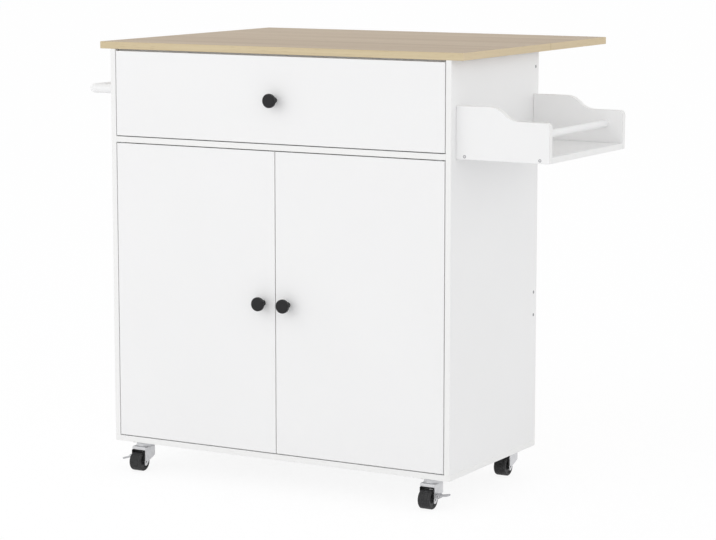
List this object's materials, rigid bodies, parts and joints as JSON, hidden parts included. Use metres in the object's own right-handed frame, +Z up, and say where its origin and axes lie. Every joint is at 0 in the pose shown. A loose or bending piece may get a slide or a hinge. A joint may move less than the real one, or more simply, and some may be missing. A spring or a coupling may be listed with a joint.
{
  "type": "rolling kitchen cart",
  "caption": "White cupboard on swivel casters with a drawer, two doors, an oak worktop with a drop leaf behind, a spice rack on one side and a towel bar on the other.",
  "frame": {"origin": "on the floor, below the middle of the whole cart's box", "axes": "+X to the right as seen from the front, +Y from the front to the back, +Z up"},
  "size_m": [1.0954, 0.707, 0.918],
  "materials": {
    "white_board": "satin white melamine on particle board",
    "oak_board": "matt pale oak laminate",
    "white_hardboard": "white faced hardboard",
    "black_knob": "satin black paint",
    "zinc_steel": "bright zinc plate",
    "white_steel": "white powder coat",
    "black_tyre": "matt black",
    "grey_plastic": "moulded"
  },
  "bodies": {
    "root": {"bottom_board": "white_board", "cam_locks": "zinc_steel", "caster_plates": "zinc_steel", "caster_screws": "zinc_steel", "divider_board": "white_board", "front_top_stretcher": "white_board", "leaf_hinge_fixed_wings": "zinc_steel", "leaf_hinge_pins": "zinc_steel", "left_side_panel": "white_board", "lower_back_board": "white_board", "magnetic_catch": "grey_plastic", "panel_screws": "zinc_steel", "pivot_bushings": "grey_plastic", "rear_top_stretcher": "white_board", "right_side_panel": "white_board", "shelf": "white_board", "shelf_pins": "zinc_steel", "slide_cabinet_members": "zinc_steel", "spice_rack_back_panel": "white_board", "spice_rack_front_panel": "white_board", "spice_rack_rail": "white_board", "spice_rack_screws": "zinc_steel", "spice_rack_shelf": "white_board", "stay_channels": "white_steel", "towel_bar": "white_steel", "towel_bar_bolts": "zinc_steel", "upper_back_board": "white_board", "worktop": "oak_board"},
    "drawer": {"drawer_front": "white_board", "drawer_left_side": "white_board", "drawer_right_side": "white_board", "drawer_back": "white_board", "drawer_bottom": "white_hardboard", "drawer_knob": "black_knob", "slide_drawer_members": "zinc_steel"},
    "ball_cages": {"slide_ball_cages": "grey_plastic"},
    "left_door": {"left_door": "white_board", "left_door_knob": "black_knob", "left_door_pivots": "zinc_steel", "left_strike_plate": "zinc_steel"},
    "right_door": {"right_door": "white_board", "right_door_knob": "black_knob", "right_door_pivots": "zinc_steel", "right_strike_plate": "zinc_steel"},
    "drop_leaf": {"drop_leaf": "oak_board", "leaf_hinge_moving_wings": "zinc_steel", "stay_brackets": "white_steel"},
    "left_strut": {"left_stay_strut": "white_steel"},
    "right_strut": {"right_stay_strut": "white_steel"},
    "front_left_caster": {"front_left_caster_fork": "zinc_steel"},
    "front_left_wheel": {"front_left_wheel": "black_tyre"},
    "front_left_brake": {"front_left_brake_lever": "zinc_steel"},
    "front_right_caster": {"front_right_caster_fork": "zinc_steel"},
    "front_right_wheel": {"front_right_wheel": "black_tyre"},
    "front_right_brake": {"front_right_brake_lever": "zinc_steel"},
    "rear_left_caster": {"rear_left_caster_fork": "zinc_steel"},
    "rear_left_wheel": {"rear_left_wheel": "black_tyre"},
    "rear_right_caster": {"rear_right_caster_fork": "zinc_steel"},
    "rear_right_wheel": {"rear_right_wheel": "black_tyre"}
  },
  "joints": [
    {"name": "drawer_slide", "type": "slide", "parent": "root", "child": "drawer", "axis": [0, -1, 0], "range_m": [0, 0.25]},
    {"name": "ball_cage_slide", "type": "slide", "parent": "root", "child": "ball_cages", "axis": [0, -1, 0], "range_m": [0, 0.125]},
    {"name": "left_door_hinge", "type": "hinge", "parent": "root", "child": "left_door", "pos_m": [-0.43725, -0.3215, 0.391], "axis": [0, 0, -1], "range_deg": [0, 110]},
    {"name": "right_door_hinge", "type": "hinge", "parent": "root", "child": "right_door", "pos_m": [0.31875, -0.3215, 0.391], "axis": [0, 0, 1], "range_deg": [0, 110]},
    {"name": "leaf_hinge", "type": "hinge", "parent": "root", "child": "drop_leaf", "pos_m": [-0.05925, 0.0715, 0.899], "axis": [-1, 0, 0], "range_deg": [0, 90]},
    {"name": "left_strut_pivot", "type": "hinge", "parent": "drop_leaf", "child": "left_strut", "pos_m": [-0.28325, 0.1915, 0.8943], "axis": [1, 0, 0], "range_deg": [0, 128.62]},
    {"name": "right_strut_pivot", "type": "hinge", "parent": "drop_leaf", "child": "right_strut", "pos_m": [0.16475, 0.1915, 0.8943], "axis": [1, 0, 0], "range_deg": [0, 128.62]},
    {"name": "front_left_swivel", "type": "hinge", "parent": "root", "child": "front_left_caster", "pos_m": [-0.40955, -0.2955, 0.05], "axis": [0, 0, 1], "continuous": true},
    {"name": "front_left_wheel_axle", "type": "hinge", "parent": "front_left_caster", "child": "front_left_wheel", "pos_m": [-0.40955, -0.3171, 0.02], "axis": [1, 0, 0], "continuous": true},
    {"name": "front_left_brake_pivot", "type": "hinge", "parent": "front_left_caster", "child": "front_left_brake", "pos_m": [-0.43235, -0.2955, 0.0274], "axis": [0, 1, 0], "range_deg": [0, 28]},
    {"name": "front_right_swivel", "type": "hinge", "parent": "root", "child": "front_right_caster", "pos_m": [0.29105, -0.2955, 0.05], "axis": [0, 0, 1], "continuous": true},
    {"name": "front_right_wheel_axle", "type": "hinge", "parent": "front_right_caster", "child": "front_right_wheel", "pos_m": [0.29105, -0.3171, 0.02], "axis": [1, 0, 0], "continuous": true},
    {"name": "front_right_brake_pivot", "type": "hinge", "parent": "front_right_caster", "child": "front_right_brake", "pos_m": [0.31385, -0.2955, 0.0274], "axis": [0, 1, 0], "range_deg": [0, 28]},
    {"name": "rear_left_swivel", "type": "hinge", "parent": "root", "child": "rear_left_caster", "pos_m": [-0.40955, 0.0479, 0.05], "axis": [0, 0, 1], "continuous": true},
    {"name": "rear_left_wheel_axle", "type": "hinge", "parent": "rear_left_caster", "child": "rear_left_wheel", "pos_m": [-0.40955, 0.0263, 0.02], "axis": [1, 0, 0], "continuous": true},
    {"name": "rear_right_swivel", "type": "hinge", "parent": "root", "child": "rear_right_caster", "pos_m": [0.29105, 0.0479, 0.05], "axis": [0, 0, 1], "continuous": true},
    {"name": "rear_right_wheel_axle", "type": "hinge", "parent": "rear_right_caster", "child": "rear_right_wheel", "pos_m": [0.29105, 0.0263, 0.02], "axis": [1, 0, 0], "continuous": true}
  ],
  "couplings": [
    {"joint": "ball_cage_slide", "follows": "drawer_slide", "ratio": 0.5},
    {"joint": "left_strut_pivot", "follows": "leaf_hinge", "ratio": 1.4286},
    {"joint": "right_strut_pivot", "follows": "leaf_hinge", "ratio": 1.4286}
  ]
}
